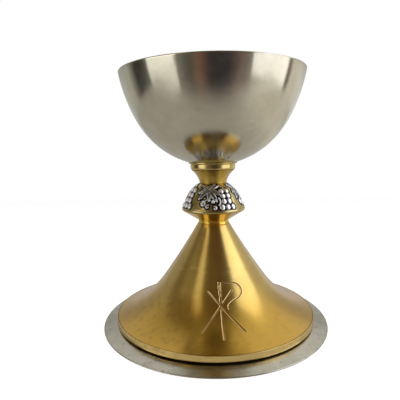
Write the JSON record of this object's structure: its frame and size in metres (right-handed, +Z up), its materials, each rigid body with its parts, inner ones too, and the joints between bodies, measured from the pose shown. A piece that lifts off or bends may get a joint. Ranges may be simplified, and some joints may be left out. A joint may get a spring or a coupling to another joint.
{
  "type": "chalice",
  "caption": "Footed altar cup with a silver bowl, a gilt stem with a vine-relief knop and a flared conical foot, standing on its upturned paten to hold wine.",
  "frame": {"origin": "centre of the paten's rim on the surface that it lies on", "axes": "+Z up along the axis of the cup, -Y towards the engraved front of the foot, +X to the viewer's right"},
  "size_m": [0.15, 0.15, 0.1639],
  "materials": {
    "satin_silver": "satin silver plate, spun and brushed",
    "oxidised_silver": "cast silver with blackened recesses",
    "satin_gilt": "satin gilt brass with slight tarnish",
    "polished_gilt": "polished gilt brass",
    "plain_brass": "turned brass",
    "spring_steel": "blued spring steel"
  },
  "bodies": {
    "paten": {"paten": "satin_silver"},
    "chalice": {"foot_band": "satin_gilt", "foot_shell": "satin_gilt", "foot_washer": "plain_brass", "lock_washer": "spring_steel", "hex_nut": "plain_brass", "stem_ring": "polished_gilt", "knop_base": "polished_gilt", "knop_sleeve": "plain_brass", "knop_dome": "polished_gilt", "vine_relief": "oxidised_silver", "neck": "satin_gilt", "collar_ring": "polished_gilt", "tie_bolt": "plain_brass", "bowl": "satin_silver"}
  },
  "joints": [
    {"name": "chalice_lift", "type": "slide", "parent": "paten", "child": "chalice", "axis": [0, 0, 1], "range_m": [0, 0.05]}
  ]
}
